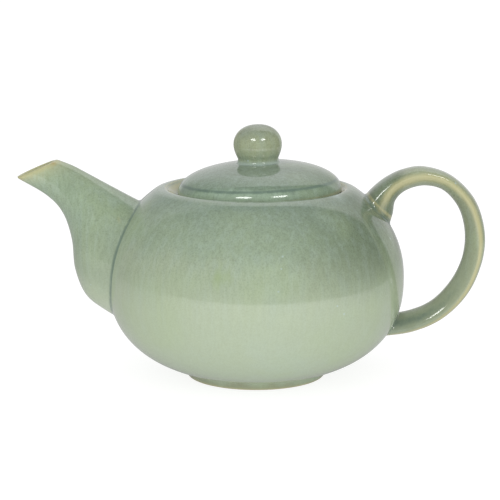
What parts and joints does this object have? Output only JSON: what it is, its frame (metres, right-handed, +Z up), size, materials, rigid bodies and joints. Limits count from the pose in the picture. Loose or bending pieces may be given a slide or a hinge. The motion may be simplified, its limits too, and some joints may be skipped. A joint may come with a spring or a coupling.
{
  "type": "teapot",
  "caption": "Squat round lidded pot with a curved side spout, a loop handle opposite it, a recessed domed lid with a ball knob, and a low turned foot.",
  "frame": {"origin": "on the pot's vertical axis, in the plane of the foot ring's standing edge", "axes": "+Z up, the handle towards +X and the spout towards -X; the XZ plane is the mirror plane"},
  "size_m": [0.2516, 0.16, 0.1365],
  "materials": {
    "pot_glaze": "glossy mottled grey-green glaze, paler towards the foot",
    "handle_glaze": "glossy grey-green glaze, thin and straw-coloured along the ridge",
    "foot_glaze": "thin glaze wiped back to bare buff clay on the standing edge",
    "lid_glaze": "glossy mottled grey-green glaze",
    "knob_glaze": "glossy olive-green glaze"
  },
  "bodies": {
    "pot": {"vessel": "pot_glaze", "foot_ring": "foot_glaze", "spout": "pot_glaze", "handle": "handle_glaze"},
    "lid": {"lid": "lid_glaze", "lid_flange": "lid_glaze", "knob": "knob_glaze"}
  },
  "joints": [
    {"name": "lid_lift", "type": "slide", "parent": "pot", "child": "lid", "axis": [0, 0, 1], "range_m": [0, 0.08]}
  ]
}
